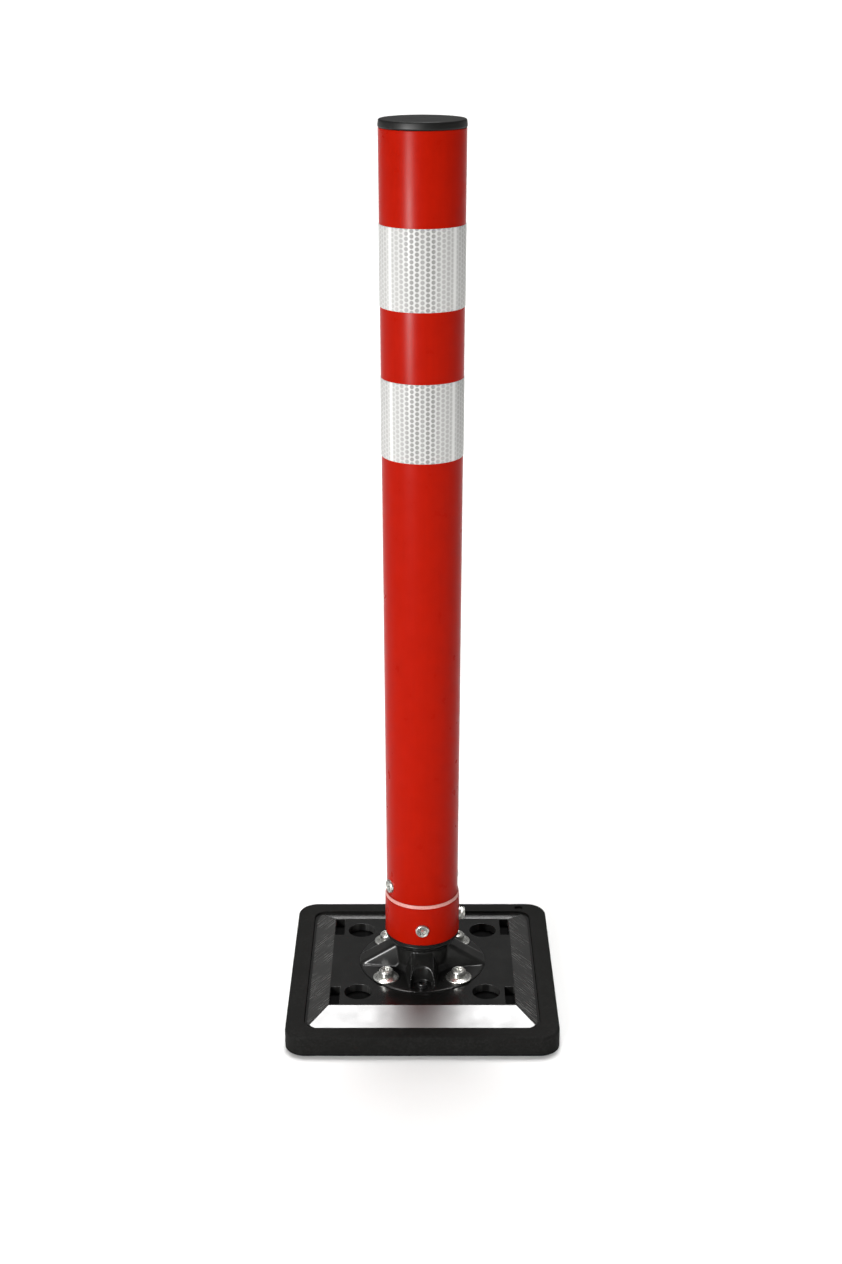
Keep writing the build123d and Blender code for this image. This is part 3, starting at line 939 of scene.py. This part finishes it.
def helix_tube(radius, wire, bottom, top, turns, start=0.0, steps=40, sides=10):
    """A round wire on a helix: a small circle, square to the path, carried up the helix."""
    t = np.linspace(0, 1, int(turns * steps) + 1)[:, None]
    phi = np.arange(sides) * tau / sides
    angle = start + tau * turns * t
    rise = (top - bottom - 2 * wire) / (tau * turns)
    slope = np.hypot(radius, rise)
    out = wire * np.cos(phi)
    lift = wire * np.sin(phi)
    x = (radius + out) * np.cos(angle) + lift * rise / slope * np.sin(angle)
    y = (radius + out) * np.sin(angle) - lift * rise / slope * np.cos(angle)
    z = bottom + wire + (top - bottom - 2 * wire) * t + lift * radius / slope
    return np.stack([x, y, z], -1).reshape(-1, 3), grid_faces(len(t), sides)


def strand_cable(bottom, top):
    """Six strands on helices round a straight core, between two heights of the same cable."""
    strand, lay_length = sizes().strand, sizes().lay_length
    lay = outer("tension_cable") - strand - 0.1 * MM
    begin = tau * (bottom - low("tension_cable")) / lay_length
    turns = (top - bottom) / lay_length
    strands = [helix_tube(lay, strand, bottom, top, turns, begin + tau * k / 6, 28, 8) for k in range(6)]
    rows = np.linspace(bottom, top, 120)
    core = turned([(0, rows[0]), *[(lay * 0.8, z) for z in rows], (0, rows[-1])], 12)
    return joined(core, *strands)


class POST_OT_cable(bpy.types.Operator):
    """Tension cable and rebound spring"""

    bl_idname = "post.cable"
    bl_label = "Cable and spring"

    def execute(self, context):
        split, travel = sizes().cable_split, sizes().spring_travel
        node, slot, strands = "tension_cable", "cable_steel", finish("strand")
        bending = piece("cable_through_seat", strand_cable(low(node), split), None, [node], slot, strands)
        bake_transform(bending)
        pulled = piece("cable_through_spring", strand_cable(split, high(node)), "post", [node], slot, strands)
        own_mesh(pulled)
        wire, steel = sizes().spring_wire, finish("spring steel")
        bottom, top = low("rebound_spring"), high("rebound_spring")
        spring = helix_tube(outer("rebound_spring") - wire, wire, bottom, top, 9, sides=14)
        coil = piece("coil_spring", spring, "post", ["rebound_spring"], "spring_steel", steel)
        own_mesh(coil)
        return {"FINISHED"}


def light(name, kind, energy, location, target, **settings):
    """A light that looks at a target."""
    data = bpy.data.lights.new(name, kind)
    data.energy = energy
    for key, value in settings.items():
        setattr(data, key, value)
    obj = bpy.data.objects.new(name, data)
    obj.location = location
    away = np.array(location, float) - np.array(target, float)
    flat = sqrt(away[0] ** 2 + away[1] ** 2)
    obj.rotation_euler = (atan2(flat, away[2]), 0, atan2(away[0], -away[1]))
    bpy.context.scene.collection.objects.link(obj)
    return obj


class POST_OT_stage(bpy.types.Operator):
    """Floor, lights and camera"""

    bl_idname = "post.stage"
    bl_label = "Stage"

    def execute(self, context):
        scene, stage = context.scene, context.scene.post_stage
        scene.view_settings.view_transform = "Standard"
        floor = material("pale_studio_floor", stage.floor, 0.9)[0]
        side = 60.0
        vertices = np.array([(-side, -side, 0), (side, -side, 0), (side, side, 0), (-side, side, 0)])
        mesh = bpy.data.meshes.new("floor")
        mesh.from_pydata(vertices.tolist(), [], [(0, 1, 2, 3)])
        mesh.materials.append(floor)
        ground = bpy.data.objects.new("floor", mesh)
        scene.collection.objects.link(ground)
        world = bpy.data.worlds.new("studio")
        world.use_nodes = True
        sky = world.node_tree.nodes["Background"]
        sky.inputs["Color"].default_value = linear("#FFFFFF")
        seen = add(world.node_tree, "ShaderNodeLightPath").outputs["Is Camera Ray"]
        world.node_tree.links.new(spread(world.node_tree, seen, 0.0, 1.0, 0.16, 1.0), sky.inputs["Strength"])
        scene.world = world
        light("overhead", "SUN", 3.15, (0, 1.2, 3), (0, 0, 0), angle=radians(26))
        key = light("key", "SUN", 2.6, (-1.5, -2.6, 0.9), (0, 0, 0), angle=radians(30))
        key.visible_glossy = False
        strip = light("left_strip", "AREA", 70.0, (-0.9, -1.3, 0.76), (0, 0, 0.8),
                      shape="RECTANGLE", size=0.3, size_y=0.4)
        strip.visible_diffuse = False
        data = bpy.data.cameras.new("camera")
        data.lens = stage.focal
        data.sensor_width = 36.0
        data.clip_end = 200.0
        camera = bpy.data.objects.new("camera", data)
        camera.location = (-0.0014, -stage.camera_distance, stage.camera_height)
        camera.rotation_euler = (pi / 2 - stage.camera_pitch, 0, 0)
        scene.collection.objects.link(camera)
        scene.camera = camera
        return {"FINISHED"}


class POST_PT_panel(bpy.types.Panel):
    """Lists the post's operators"""

    bl_idname = "POST_PT_panel"
    bl_label = "Delineator post"
    bl_space_type = "VIEW_3D"
    bl_region_type = "UI"
    bl_category = "Post"

    def draw(self, context):
        for operator in operators:
            self.layout.operator(operator.bl_idname)


operators = [POST_OT_stage, POST_OT_base, POST_OT_tube, POST_OT_bands, POST_OT_fasteners, POST_OT_cable]
groups = {"post_sizes": PostSizes, "post_colours": PostColours, "post_stage": StageSettings}


def register():
    for cls in [*groups.values(), *operators, POST_PT_panel]:
        bpy.utils.register_class(cls)
    for name, cls in groups.items():
        setattr(bpy.types.Scene, name, PointerProperty(type=cls))


def unregister():
    for name in groups:
        delattr(bpy.types.Scene, name)
    for cls in reversed([*groups.values(), *operators, POST_PT_panel]):
        bpy.utils.unregister_class(cls)


def main():
    """Makes the whole scene."""
    register()
    for operator in operators:
        family, action = operator.bl_idname.split(".")
        getattr(getattr(bpy.ops, family), action)()


if __name__ == "__main__":
    main()
